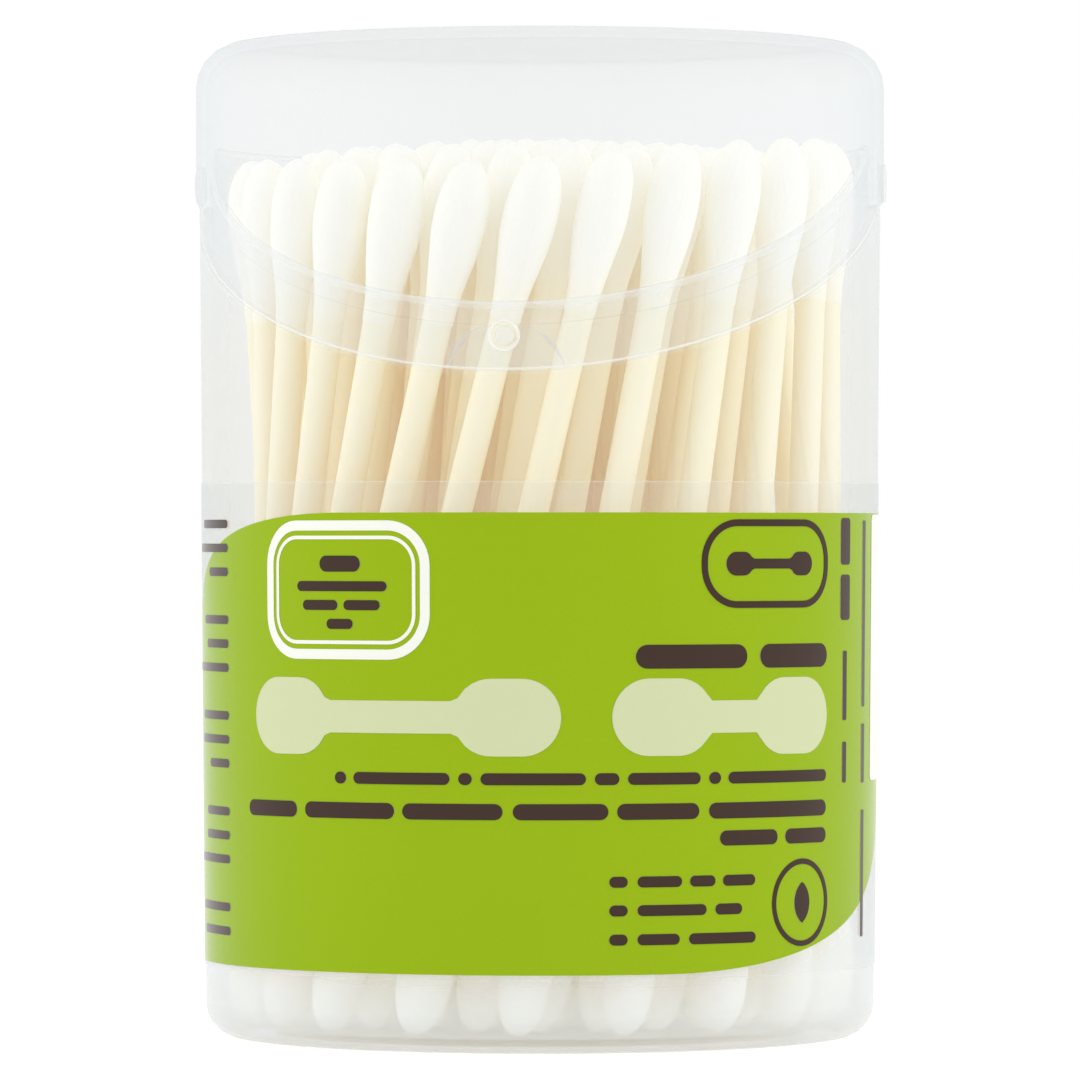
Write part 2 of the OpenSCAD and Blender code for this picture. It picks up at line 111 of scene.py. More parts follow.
class LidSizes(bpy.types.PropertyGroup):
    """Sizes of the lid moulding and its hinge."""
    cap_r: length("Cap radius", 28.55, "Outer radius of the cap")
    wall: length("Wall", 0.8, "Thickness of the cap's wall")
    top: length("Top", 0.9, "Thickness of the cap's top")
    top_z: length("Height", 82.25, "Height of the cap's top above the table")
    top_round: length("Top rounding", 3.7, "Outer radius between the wall and the top")
    apron_in_r: length("Apron bore", 27.45, "Inner radius of the apron")
    step: length("Step", 0.8, "Height of the slope under the cap's wall")
    hole_r: length("Hole radius", 1.18, "Radius of the catch hole")
    hole_up: length("Hole height", 2.9, "Height of the hole above the apron's front edge")
    pip_r: length("Pip radius", 1.6, "Radius of the grip pips at the sides")
    pip: length("Pip", 0.2, "How far a pip stands out")
    pip_up: length("Pip height", 1.7, "Height of the pips above the lid's edge")
    hinge_y: length("Hinge depth", 30.2, "Distance of the hinge axis behind the middle")
    hinge_z: length("Hinge height", 68.7, "Height of the hinge axis")
    pin_r: length("Pin radius", 0.8, "Radius of the hinge pin")
    pin_gap: length("Pin gap", 0.05, "Running gap round the pin")
    knuckle_r: length("Knuckle radius", 1.6, "Outer radius of the knuckle")
    knuckle_w: length("Knuckle width", 9.0, "Width of the knuckle")
    mouth: length("Knuckle mouth", 1.3, "Width of the snap-on mouth under the knuckle")
    ear_r: length("Ear radius", 1.5, "Radius of the ears round the pin")
    ear_out: length("Ear reach", 6.55, "Distance of their outer faces from the middle")
    ear: length("Ear thickness", 1.8, "Thickness of an ear")
    ear_slope: angle("Ear slope", 47, "Slope of the ears' lower edge")


class BudSizes(bpy.types.PropertyGroup):
    """Sizes of the buds and of the bundle."""
    long: length("Bud length", 73.0, "Length of a bud over both ends")
    head_r: length("Head radius", 2.3, "Radius of the cotton at its thickest")
    head: length("Head length", 13.5, "Length of the cotton at each end")
    mid: length("Thickest place", 5.0, "Its distance from the bud's end")
    stem_r: length("Stem radius", 1.225, "Radius of the paper stem")
    inset: length("Cotton beyond the stem", 2.5, "Cotton beyond each end of the stem")
    rest: length("Rest height", 1.35, "Height of the bundle's foot")
    pitch: length("Ring pitch", 4.75, "Distance between rings of buds")
    outer_r: length("Outer ring", 24.05, "Radius of the outer ring")
    outer_count: bpy.props.IntProperty(
        name="Outer buds", description="Number of buds in the outer ring", default=26, min=6)
    twist: angle("Twist", 40, "Turn of the inner rings between foot and top")
    twist_high: angle("Greatest twist", 50, "Greatest turn in the outer ring")
    twist_low: angle("Least twist", 14, "Least turn in the outer ring")
    fall: angle("Fall arc", 75, "Arc over which the outer ring's turn falls")
    lumps: length("Lumps", 0.05, "Unevenness of the wound cotton")


class LabelSizes(bpy.types.PropertyGroup):
    """Sizes of the label."""
    low: length("Film foot", 6.0, "Height of the film's lower edge")
    high: length("Film top", 45.8, "Height of the film's upper edge")
    field_low: length("Field foot", 6.4, "Height of the green field's lower edge")
    field_h: length("Field height", 36.9, "Height of the green field")
    field_half: length("Field half width", 41.0, "Half the field's width round the wall")
    turn: angle("Turn", 6, "Bearing of the label's middle")
    radius: length("Label radius", 27.91, "Mean radius of the wall under the label")
    seam: length("Seam", 1.0, "Gap between the film's ends behind")
    film: length("Film", 0.06, "Thickness of the film")
    ink: length("Ink", 0.04, "Thickness of a layer of ink")
    layer: length("Layer gap", 0.01, "Gap between layers")


class Finishes(bpy.types.PropertyGroup):
    """Colours and clarity of the materials."""
    tub_haze: share("Tub haze", 0.09, "Milky share of a tub face seen square on")
    lid_haze: share("Lid haze", 0.12, "Milky share of a lid face seen square on")
    haze: colour("Haze", (231, 234, 236), "Colour of the milkiness")
    green: colour("Green ink", (150, 181, 2), "Ink of the field")
    cream: colour("Cream ink", (209, 216, 172), "Ink of the large marks")
    white: colour("White ink", (243, 245, 236), "Ink of the badge and the panel")
    dark: colour("Dark ink", (58, 38, 28), "Ink of the small marks")
    paper: colour("Paper", (252, 246, 218), "Rolled paper of the stems")
    cotton: colour("Cotton", (254, 253, 245), "Wound cotton")


# Meshes from grids of points. Each point carries four marks for the materials: how far it is
# on a rim, a tint of its own copy, whether it is on the outside and how misty the plastic is.
# On the clear plastic the rim mark is a painted highlight: it whitens edges and rounded corners
# into bright lines. On the inks it marks the inner face, and on the cotton where it thins.

MARKS = {"rim": 0.0, "tint": 0.5, "outer": 1.0, "mist": 0.0}


def full_turn(steps):
    """Angles of one turn in equal steps, without the last, which is the first again."""
    return np.linspace(0, 2 * np.pi, steps, endpoint=False)


def skin(points, wrap_u=False, wrap_v=False, ends="open", **marks):
    """Vertices and faces of one or more like grids.

    points[k, i, j] is copy k's point at step i of u and step j of v, and each face joins
    (i, j), (i+1, j), (i+1, j+1) and (i, j+1). A wrapped direction joins its last step to its
    first. ends is "open", "poles" where the first and last rows of v each shrink to one
    point, or "caps" for a flat face over both ends of the direction that isn't wrapped.
    marks are numbers for the points, under the names in MARKS.
    """
    points = points if points.ndim == 4 else points[None]
    copies, nu, nv, _ = points.shape
    at = np.arange(copies * nu * nv).reshape(copies, nu, nv)
    if wrap_u:
        at = np.concatenate([at, at[:, :1]], 1)
    if wrap_v:
        at = np.concatenate([at, at[:, :, :1]], 2)
    if ends == "poles":
        at[:, :, 0] = at[:, :1, 0]
        at[:, :, -1] = at[:, :1, -1]
    steps = [np.linspace(0, 1, n) for n in at.shape[1:]]
    uv = np.broadcast_to(np.stack(np.meshgrid(*steps, indexing="ij"), -1), at.shape + (2,))
    corners = [np.s_[:, :-1, :-1], np.s_[:, 1:, :-1], np.s_[:, 1:, 1:], np.s_[:, :-1, 1:]]
    faces = np.stack([at[c] for c in corners], -1)
    places = np.stack([uv[c] for c in corners], -2)
    # Next to a pole two corners of each face are one point, so the face keeps only three
    bands = [(np.s_[:], [0, 1, 2, 3])]
    if ends == "poles":
        bands = [(np.s_[1:-1], [0, 1, 2, 3]), (0, [0, 2, 3]), (-1, [0, 1, 2])]
    loops = [faces[:, :, rows][..., keep] for rows, keep in bands]
    spots = [places[:, :, rows][..., keep, :] for rows, keep in bands]
    if ends == "caps":
        caps = [at[:, -2::-1, 0], at[:, :-1, -1]] if wrap_u else [at[:, 0, :-1], at[:, -1, -2::-1]]
        loops += caps
        spots += [np.zeros(c.shape + (2,)) for c in caps]
    values = {name: np.broadcast_to(marks.get(name, usual), (copies, nu, nv)).ravel()
              for name, usual in MARKS.items()}
    return {
        "co": points.reshape(-1, 3),
        "loops": [f.reshape(-1, f.shape[-1]) for f in loops],
        "uv": [s.reshape(-1, 2) for s in spots],
        **values,
    }


def mesh_from(name, skins):
    """One mesh of several skins, without the points that no face uses."""
    start = np.cumsum([0] + [len(s["co"]) for s in skins])
    co = np.concatenate([s["co"] for s in skins])
    blocks = [f + k for s, k in zip(skins, start) for f in s["loops"]]
    loops = np.concatenate([b.ravel() for b in blocks])
    sizes = np.concatenate([np.full(len(b), b.shape[1]) for b in blocks])
    used, loops = np.unique(loops, return_inverse=True)
    uv = np.concatenate([spots for s in skins for spots in s["uv"]])
    mesh = bpy.data.meshes.new(name)
    mesh.vertices.add(len(used))
    mesh.vertices.foreach_set("co", co[used].astype(np.float32).ravel())
    mesh.loops.add(len(loops))
    mesh.loops.foreach_set("vertex_index", loops.astype(np.int32).ravel())
    mesh.polygons.add(len(sizes))
    mesh.polygons.foreach_set("loop_start", (np.cumsum(sizes) - sizes).astype(np.int32))
    mesh.uv_layers.new(name="UVMap").uv.foreach_set("vector", uv.astype(np.float32).ravel())
    for field in MARKS:
        values = np.concatenate([s[field] for s in skins])[used].astype(np.float32)
        mesh.attributes.new(field, "FLOAT", "POINT").data.foreach_set("value", values)
    mesh.update(calc_edges=True)
    mesh.validate()
    mesh.shade_smooth()
    return mesh


def place_piece(name, mesh, material, body, node, sharp=SHARP, clear=False):
    """Object of a mesh, or of skins, which rides on a body and stands for a CAD node.

    A clear one casts no shadow and lets scattered light straight through.
    """
    if isinstance(mesh, list):
        mesh = mesh_from(name, mesh)
    mesh.set_sharp_from_angle(angle=math.radians(sharp))
    mesh.materials.append(material)
    piece = bpy.data.objects.new(name, mesh)
    piece.visible_shadow = piece.visible_diffuse = not clear
    bpy.context.scene.collection.objects.link(piece)
    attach(piece, body)
    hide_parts(node)


# Share of a side that a rounding takes up at most, and the flat that is held beyond it, as a
# share of the rounding and of what is left of the side
MOST_CUT = 0.485
HOLD_OF_CUT = 0.3
HOLD_OF_REST = 0.04


def rounded(corners, cuts, steps=6):
    """Profile with its corners rounded off, each row's corner, and 1 for a row on its curve.

    corners[b, k] is corner k on bearing b, as (radius, height). A corner P with cut c gives
    way to the arc ((1-t)^2 A + 2 w t (1-t) P + t^2 B) / ((1-t)^2 + 2 w t (1-t) + t^2), where
    A and B lie c before and after P on its two sides, and w is the sine of half the angle
    between them, which makes it a circle's. A plain point just beyond A and B holds the flat.
    The first and last corners have no cut.
    """
    t = np.linspace(0, 1, steps)[:, None]
    rows, owner, curve = [], [], []
    for k, most in enumerate(cuts):
        p = corners[:, k:k + 1]
        if not most:
            rows.append(p)
            owner.append(k)
            curve.append(1.0)
            continue
        sides = [corners[:, k - 1:k] - p, corners[:, k + 1:k + 2] - p]
        reach = [np.maximum(np.linalg.norm(s, axis=-1, keepdims=True), 1e-9) for s in sides]
        unit = [s / r for s, r in zip(sides, reach)]
        cut = np.minimum(most, MOST_CUT * np.minimum(*reach))
        hold = [cut + np.minimum(HOLD_OF_CUT * cut, HOLD_OF_REST * (r - cut)) for r in reach]
        w = np.sqrt(np.clip((1 - (unit[0] * unit[1]).sum(-1, keepdims=True)) / 2, 0, 1))
        a, b, m = (1 - t) ** 2, t ** 2, 2 * w * t * (1 - t)
        arc = (a * (p + unit[0] * cut) + m * p + b * (p + unit[1] * cut)) / (a + m + b)
        rows += [p + unit[0] * hold[0], arc, p + unit[1] * hold[1]]
        owner += [k] * (steps + 2)
        curve += [0.0] + [1.0] * steps + [0.0]
    return np.concatenate(rows, 1), np.array(owner), np.array(curve)


def around(r, bearing, z):
    """Point at radius r and height z, on a bearing counted from the front towards the right."""
    return np.stack(np.broadcast_arrays(r * np.sin(bearing), -r * np.cos(bearing), z), -1)


def revolved(bearing, rows, outside, mist_h=1e-6):
    """Closed skin of a profile that may change with the bearing, from pole to pole.

    rows are its corners, as (radius, height, cut, rim), and outside gives the numbers of those
    on the outer face. The mist falls in a line from one at the table to nought at its height.
    """
    places = [np.broadcast_to(x, bearing.shape) for row in rows for x in row[:2]]
    corners = np.stack(places, -1).reshape(len(bearing), len(rows), 2)
    profile, owner, curve = rounded(corners, [row[2] for row in rows])
    r, z = profile[..., 0], profile[..., 1]
    return skin(around(r, bearing[:, None], z), wrap_u=True, ends="poles",
                rim=np.array([row[3] for row in rows])[owner] * curve,
                outer=np.isin(owner, outside).astype(float), mist=np.clip(1 - z / mist_h, 0, 1))


def peg(r, start, end, cuts, centre, axis, rim, steps=40):
    """Turned peg along an axis, from start to end, with a cut round each end's rim.

    A profile point (r, h) goes to centre + r (cos a side - sin a up) + h axis. The rim, the same
    on every point, is a painted highlight on the clear plastic.
    """
    corners = np.array([[(0, start), (r, start), (r, end), (0, end)]], float)
    rows, *_ = rounded(corners, [0, *cuts, 0], steps=4)
    r, h = rows[..., :1], rows[..., 1:]
    a = full_turn(steps)[:, None, None]
    axis = np.array(axis, float)
    side = np.cross(axis, [0, 0, 1])
    up = np.cross(side, axis)
    points = np.array(centre) + r * (np.cos(a) * side - np.sin(a) * up) + h * axis
    return skin(points, wrap_u=True, ends="poles", rim=rim)


def prism(outline, x_low, x_high, chamfer, rim):
    """Plate across the tub: a closed outline of (y, z) points carried from x_low to x_high.

    The first and last rows are drawn in by the chamfer, along the mean of the two sides'
    normals at each point. The rim, the same on every point, is a painted highlight on the clear
    plastic.
    """
    ahead = np.roll(outline, -1, 0) - outline
    ahead /= np.linalg.norm(ahead, axis=1, keepdims=True)
    along = ahead + np.roll(ahead, 1, 0)
    along /= np.linalg.norm(along, axis=1, keepdims=True)
    inner = outline - chamfer * np.stack([along[:, 1], -along[:, 0]], -1)
    rows = [(x_low, inner), (x_low + chamfer, outline), (x_high - chamfer, outline), (x_high, inner)]
    points = np.stack([np.column_stack([np.full(len(o), x), o]) for x, o in rows], 1)
    return skin(points, wrap_u=True, ends="caps", rim=rim)


def arc(centre, r, first, last, steps):
    """Points on a circle from one angle to another, in degrees from the first axis."""
    a = np.radians(np.linspace(first, last, steps))
    return np.array(centre) + r * np.stack([np.cos(a), np.sin(a)], -1)


# Tub and lid

def wall_r(tub, z):
    """Outer radius of the side wall: the foot's radius plus the taper's share at that height."""
    return tub.foot_r + tub.taper * z / tub.edge_z


def edge_at(tub, r, bearing):
    """Height of the lid's edge: level behind, and lower in front by the drop's share of the depth."""
    return tub.edge_z - tub.drop * np.maximum(r * np.cos(bearing), 0) / tub.shoulder_r


def hole_height(tub, lid):
    """Height of the catch hole's middle: so far above the apron's edge in front."""
    return tub.edge_z - tub.drop + lid.hole_up


def tub_shell(tub):
    """Tub moulding: recessed foot, tapered wall, sloping shoulder, beaded neck and the inside."""
    b = full_turn(BEARINGS)
    radii = (tub.shoulder_r, tub.neck_r, tub.bore_r)
    outer_edge, edge, bore_edge = [edge_at(tub, r, b) for r in radii]
    seat, rim = outer_edge - tub.seat_gap, edge + tub.neck_h
    under = bore_edge - tub.seat_gap - tub.shoulder
    recess_r = tub.foot_r - tub.foot_round - tub.stand
    bead_r = tub.neck_r + tub.bead
    clear_z, clear_r = tub.mist_h, wall_r(tub, tub.mist_h)
    # Radius, height, cut and rim of each corner. The rim is a painted highlight: on the clear
    # plastic it whitens the rounded corner into a bright line.
    outer_rows = [
        (0, tub.recess, 0, 0),
        (recess_r, tub.recess, 0.12 * MM, 0.1),
        (recess_r, 0, 0.12 * MM, 0.2),
        (tub.foot_r, 0, tub.foot_round, 0),
        (clear_r, clear_z, 0, 0),
        (wall_r(tub, seat), seat, 0.25 * MM, 0.1),
        (tub.neck_r, edge - tub.seat_gap, 0.1 * MM, 0),
        (tub.neck_r, rim - tub.bead_h, 0.03 * MM, 0.1),
        (bead_r, rim - tub.bead_h, 0.04 * MM, 0.15),
        (bead_r, rim, 0.35 * MM, 0.4),
    ]
    inner_rows = [
        (tub.bore_r, bore_edge + tub.neck_h, 0.3 * MM, 0.3),
        (tub.bore_r, under, 0.2 * MM, 0),
        (wall_r(tub, under) - tub.wall, under, 0.2 * MM, 0),
        (clear_r - tub.wall, clear_z, 0, 0),
        (tub.foot_r - tub.wall, tub.floor, tub.foot_round - tub.wall, 0),
        (0, tub.floor, 0, 0),
    ]
    return revolved(b, outer_rows + inner_rows, range(len(outer_rows)), tub.mist_h)


def catch_pad(tub, lid):
    """Arched pad on the neck: half width w(v) falls in a line and ends in a round arch.

    It stands out by the pad's thickness, except at its edge, and adds no milky haze of its own, so
    its mist is below nought. The rim of 0.2 along its sides paints bright highlight lines there.
    """
    edge = edge_at(tub, tub.neck_r, 0.0)
    low, high = edge - tub.seat_gap, edge + tub.neck_h - tub.bead_h
    arch = tub.pad_top_w / 4
    arch_fall = 1.6 * arch
    least, sunk, back = 0.2 * MM, -0.05 * MM, -0.2 * MM  # Half width, edge and rear face
    v = np.linspace(0, 1, 40)
    z = low + (high - low) * v
    fall = np.clip((z - (high - arch)) / arch, 0, 1)
    half = tub.pad_w / 2 + (tub.pad_top_w - tub.pad_w) / 2 * v
    half -= arch_fall * (1 - np.sqrt(1 - fall ** 2))
    s = np.array([-1, -0.975, -0.95, *np.linspace(-0.9, 0.9, 19), 0.95, 0.975, 1])[:, None]
    out = np.where(np.abs(s) < 0.96, tub.pad, sunk) * np.ones(len(z))
    out[:, [0, -1]] = sunk
    bearing = s * np.maximum(half, least) / tub.neck_r
    points = np.concatenate([around(tub.neck_r + out, bearing, z),
                             around(tub.neck_r + back, bearing, z)[:, ::-1]], 1)
    pad = skin(points, wrap_v=True, ends="caps", rim=np.where(np.abs(s) > 0.92, 0.2, 0.0),
               outer=0.25, mist=-0.13)
    nub = peg(tub.nub_r, tub.neck_r - 0.3 * MM, tub.nub_reach, (0, 0.15 * MM),
              (0, 0, hole_height(tub, lid)), (0, -1, 0), rim=0.35)
    return [pad, nub]


def hinge_ears(tub, lid):
    """Two ears behind the shoulder: a circle round the pin with a sloping web below, and the pin."""
    slope = lid.ear_slope
    root = math.sqrt((tub.shoulder_r - tub.wall / 2) ** 2 - lid.ear_out ** 2) - tub.wall / 4
    touch_y = lid.hinge_y + lid.ear_r * math.sin(slope)
    touch_z = lid.hinge_z - lid.ear_r * math.cos(slope)
    foot_z = touch_z - (touch_y - root) * math.tan(slope)
    top = tub.edge_z - tub.seat_gap - 0.25 * MM
    rise = math.degrees(math.asin((top - lid.hinge_z) / lid.ear_r))
    ring = arc((lid.hinge_y, lid.hinge_z), lid.ear_r, math.degrees(slope) - 90, 180 - rise, 26)
    outline = np.vstack([[[root, foot_z]], ring, [[root, top]]])
    chamfer = 0.15 * MM
    ears = [prism(outline, x, x + lid.ear, chamfer, rim=0.15)
            for x in (-lid.ear_out, lid.ear_out - lid.ear)]
    end = lid.ear_out - lid.ear / 2
    pin = peg(lid.pin_r, -end, end, (0.1 * MM, 0.1 * MM), (0, lid.hinge_y, lid.hinge_z), (1, 0, 0),
              rim=0.15)
    return ears + [pin]


def lid_shell(tub, lid):
    """Lid moulding: the inside from the ceiling down, the apron's edge, the slope and the cap."""
    b = full_turn(BEARINGS)
    lip = tub.edge_z + lid.step / 2
    slope_foot = lip - lid.step
    foot_r = wall_r(tub, slope_foot)
    cap_in = lid.cap_r - lid.wall
    ceiling = lid.top_z - lid.top
    edge = edge_at(tub, tub.shoulder_r, b)
    turn_z = np.maximum(slope_foot, edge + 0.25 * (lip - edge))

    def outer(z):
        slope = foot_r + (lid.cap_r - foot_r) * (z - slope_foot) / lid.step
        return np.where(z > slope_foot, slope, wall_r(tub, z))

    inner_rows = [
        (0, ceiling, 0, 0),
        (cap_in, ceiling, lid.top_round - lid.wall, 0),
        (cap_in, lip, 0.1 * MM, 0),
        (lid.apron_in_r, lip, 0.1 * MM, 0),
        (lid.apron_in_r, edge_at(tub, lid.apron_in_r, b), 0.28 * MM, 0),
    ]
    outer_rows = [
        # The apron's edge has a rim of 0.8, a painted highlight line along the lid's edge
        (outer(edge), edge, 0.28 * MM, 0.8),
        (outer(turn_z), turn_z, 0.15 * MM, 0),
        (lid.cap_r, lip, 0.25 * MM, 0),
        (lid.cap_r, lid.top_z, lid.top_round, 0),
        (0, lid.top_z, 0, 0),
    ]
    rows = inner_rows + outer_rows
    return revolved(b, rows, range(len(inner_rows), len(rows)))


def knuckle(tub, lid):
    """Snap-on knuckle: a round bar with a bore, a mouth below and an arm to the cap."""
    y, z = lid.hinge_y, lid.hinge_z
    bore = lid.pin_r + lid.pin_gap
    gape_out = math.degrees(math.acos(lid.mouth / 2 / lid.knuckle_r))
    gape_in = math.degrees(math.acos(lid.mouth / 2 / bore))
    meet = 180 - math.degrees(math.asin((tub.edge_z - z) / lid.knuckle_r))
    arm = lid.cap_r - lid.wall + 0.15 * MM
    outline = np.vstack([
        arc((y, z), lid.knuckle_r, -gape_out, 90, 22),
        [[arm, z + lid.knuckle_r], [arm, tub.edge_z]],
        arc((y, z), lid.knuckle_r, meet, 180 + gape_out, 14),
        arc((y, z), bore, 180 + gape_in, -gape_in, 28),
    ])
    return prism(outline, -lid.knuckle_w / 2, lid.knuckle_w / 2, 0.12 * MM, rim=0.15)


def ring_bead(tub, lid):
    """Fine bead round the catch hole: a small circle carried round a larger one. Its rim of 0.7
    paints it as a bright highlight ring.
    """
    z = hole_height(tub, lid)
    a, c = full_turn(56), full_turn(12)
    thick = 0.13 * MM
    r = lid.hole_r + thick * np.cos(c)
    x = r * np.cos(a)[:, None]
    up = z + r * np.sin(a)[:, None]
    seat = np.sqrt(wall_r(tub, z) ** 2 - x ** 2)
    points = np.stack([x, -(seat + thick * np.sin(c)), up], -1)
    return skin(points, wrap_u=True, wrap_v=True, rim=0.7)


def pierced(name, shell, cutter):
    """Mesh of a shell with a cutter taken away from it exactly, and without faces of no area."""
    least_edge = 0.002 * MM
    parts = [bpy.data.objects.new(part, mesh_from(part, [shape]))
             for part, shape in (("whole_shell", shell), ("cutter", cutter))]
    for part in parts:
        bpy.context.scene.collection.objects.link(part)
    cut = parts[0].modifiers.new("Catch hole", "BOOLEAN")
    cut.operation, cut.solver, cut.object = "DIFFERENCE", "EXACT", parts[1]
    bpy.context.view_layer.update()
    mesh = bpy.data.meshes.new_from_object(
        parts[0].evaluated_get(bpy.context.evaluated_depsgraph_get()))
    mesh.name = name
    if len(mesh.polygons) <= len(parts[0].data.polygons):
        raise RuntimeError("the lid's hole could not be cut")
    for part in parts:
        spent = part.data
        bpy.data.objects.remove(part)
        bpy.data.meshes.remove(spent)
    clean = bmesh.new()
    clean.from_mesh(mesh)
    bmesh.ops.dissolve_degenerate(clean, dist=least_edge, edges=clean.edges)
    clean.to_mesh(mesh)
    clean.free()
    mesh.shade_smooth()
    return mesh


# Buds

def ring_count(buds, k):
    """Buds in ring k: one in the middle, six more in each ring, and the outer ring's own count."""
    return 1 if k == 0 else 6 * k if k < RINGS - 1 else buds.outer_count


def bud_axes(buds, k):
    """Foot, direction and two cross directions of every bud in ring k.

    Bud i ends on the bearing (i + half on odd rings) / count of a turn, and starts on that
    bearing less the ring's turn. In the outer ring the turn falls in a line over the fall
    arc, from its greatest to its least, and rises back over the rest. The first cross
    direction points inwards, so that the seam of what is wound hides there.
    """
    count = ring_count(buds, k)
    top = (np.arange(count) + (k % 2) / 2) * 2 * np.pi / count
    if k < RINGS - 1:
        r, turn = k * buds.pitch, np.full(count, buds.twist)
    else:
        r = buds.outer_r
        back = 2 * np.pi - buds.fall
        fallen = np.where(top < buds.fall, top / buds.fall, (2 * np.pi - top) / back)
        turn = buds.twist_high - (buds.twist_high - buds.twist_low) * fallen
    foot = around(r, top - turn, buds.rest)
    run = around(r, top, buds.rest) - foot
    rise = np.sqrt(buds.long ** 2 - (run ** 2).sum(1))
    way = (run + rise[:, None] * [0, 0, 1]) / buds.long
    inwards = -around(1.0, top - turn / 2, 0.0)
    first = inwards - (inwards * way).sum(1, keepdims=True) * way
    first /= np.linalg.norm(first, axis=1, keepdims=True)
    return foot, way, first, np.cross(way, first)


def spun(axes, s, r, steps):
    """Points of a turned shape on every bud: foot + s way + r (cos a first + sin a second)."""
    foot, way, first, second = [x[:, None, None, :] for x in axes]
    a = full_turn(steps)[None, :, None, None]
    s, r = s[..., None], r[..., None]
    return foot + s * way + r * (np.cos(a) * first + np.sin(a) * second)


def cotton_profile(buds, dome, slope):
    """Distance from the bud's end and radius of the cotton, then of the socket for the stem.

    The end is head_r sqrt(1 - (1 - s/mid)^2.4) up to the thickest place, and from there half
    a cosine wave eases it down on to the stem.
    """
    s_dome = buds.mid * (1 - np.cos(np.linspace(0, np.pi / 2, dome)))
    r_dome = buds.head_r * np.sqrt(np.clip(1 - (1 - s_dome / buds.mid) ** 2.4, 0, 1))
    t = np.linspace(0, 1, slope + 1)[1:]
    feather = buds.stem_r + 0.06 * MM
    s_slope = buds.mid + (buds.head - buds.mid) * t
    r_slope = feather + (buds.head_r - feather) * (1 + np.cos(np.pi * t)) / 2
    inner = buds.stem_r - 0.02 * MM
    s = np.concatenate([s_dome, s_slope, [buds.head, buds.inset, buds.inset]])
    r = np.concatenate([r_dome, r_slope, [inner, inner, 0]])
    return s, r


def tips(buds, k, upper, rng):
    """Cotton of one end of every bud in ring k, with slow unevenness along and round it."""
    fine, coarse = (26, 11, 12), (14, 6, 6)
    steps, dome, slope = fine if k >= RINGS - 2 else coarse
    slimmest, even_part, thin_out = 0.93, 0.4, 0.45 * MM
    foot, way, first, second = bud_axes(buds, k)
    if upper:
        foot, way, second = foot + buds.long * way, -way, -second
    s, r = cotton_profile(buds, dome, slope)
    a = full_turn(steps)[None, :, None]
    count = len(foot)
    phase = rng.uniform(0, 2 * np.pi, (4, count, 1, 1))
    slim = rng.uniform(slimmest, 1.0, (count, 1, 1))
    lump = sum(np.cos(m * a + n * s / buds.head * np.pi + p)
               for m, n, p in zip((1, 2, 3, 1), (2, 3, 1, 5), phase)) / 4
    hold = np.clip((buds.head - s) / (even_part * buds.head), 0, 1)
    hold *= np.clip(r / buds.head_r, 0, 1)
    hold[-3:] = 0
    soft = r * np.where(hold > 0, 1 - (1 - slim) * hold, 1) + (lump - 1) * buds.lumps * hold
    points = spun((foot, way, first, second), np.broadcast_to(s, soft.shape), soft, steps)
    thin = np.exp((buds.stem_r - r) / thin_out) * (s > buds.mid)
    return skin(points, wrap_u=True, ends="poles", rim=thin, tint=rng.uniform(0, 1, (count, 1, 1)))


def stems(buds, k, rng):
    """Paper stem of every bud in ring k: a tube of fixed radius between the two cottons."""
    axes = bud_axes(buds, k)
    s = np.array([buds.inset, buds.inset, buds.head, buds.long / 2, buds.long - buds.head,
                  buds.long - buds.inset, buds.long - buds.inset])
    r = np.array([0, 1, 1, 1, 1, 1, 0]) * buds.stem_r
    points = spun(axes, s[None, None], r[None, None], steps=24)
    return skin(points, wrap_u=True, ends="poles", tint=rng.uniform(0, 1, (len(axes[0]), 1, 1)))


# Label: u runs round the wall from the label's middle and v up from the field's foot. The
# artwork is drawn in hundredths of the field's height, as in the CAD source, and half a mark's
# height is never less than LEAST_HALF, so that its ends stay closed.

LEAST_HALF = 0.02 * MM


def on_wall(tub, label, u, v, out):
    """Point on the tapered wall: bearing turn + u / radius, height foot + v, at wall radius + out."""
    z = label.field_low + v
    return around(wall_r(tub, z) + out, label.turn + u / label.radius, z)


def slab(tub, label, u, low, high, out):
    """Closed plates of ink on the wall, each between low(u) and high(u)."""
    top = out + label.ink
    loop = [(low, top), (high, top), (high, out), (low, out)]
    points = np.stack([on_wall(tub, label, u, v, o) for v, o in loop], -2)
    return skin(points, wrap_v=True, ends="caps", rim=np.array([0, 0, 1, 1]))


def half_height(x, w, h, r):
    """Half height at x of a box w by h with corners of radius r: h/2 - r + sqrt(r^2 - over^2)."""
    over = np.clip(np.abs(x) - (w / 2 - r), 0, r)
    return h / 2 - r + np.sqrt(r ** 2 - over ** 2)


def hundredth(label):
    """The artwork's unit, in metres."""
    return label.field_h / 100


def bar_half(x, w, h, corner=0.5):
    """Half height of a bar, whose corners take a share of its smaller side."""
    return half_height(x, w, h, corner * np.minimum(w, h))


def bud_half(x, w, h):
    """Half height of a level bud: a bar with a round-ended pill at each end."""
    pill = 1.4 * h
    head = np.abs(np.abs(x) - (w / 2 - pill / 2))
    half = np.where(head <= pill / 2, half_height(np.minimum(head, pill / 2), pill, h, h / 2), 0)
    return np.maximum(half, np.where(np.abs(x) < w / 2 - h / 2, 0.21 * h, 0))


def marks(tub, label, rows, out, half_at=bar_half, steps=30, **shape):
    """Plates from rows of (u, v, width, height), with half their height at x from half_at."""
    u, v, w, h = [c[:, None] * hundredth(label) for c in np.array(rows, float).T]
    x = -w / 2 * np.cos(np.linspace(0, np.pi, steps))
    half = np.maximum(half_at(x, w, h, **shape), LEAST_HALF)
    return slab(tub, label, u + x, v - half, v + half, out)


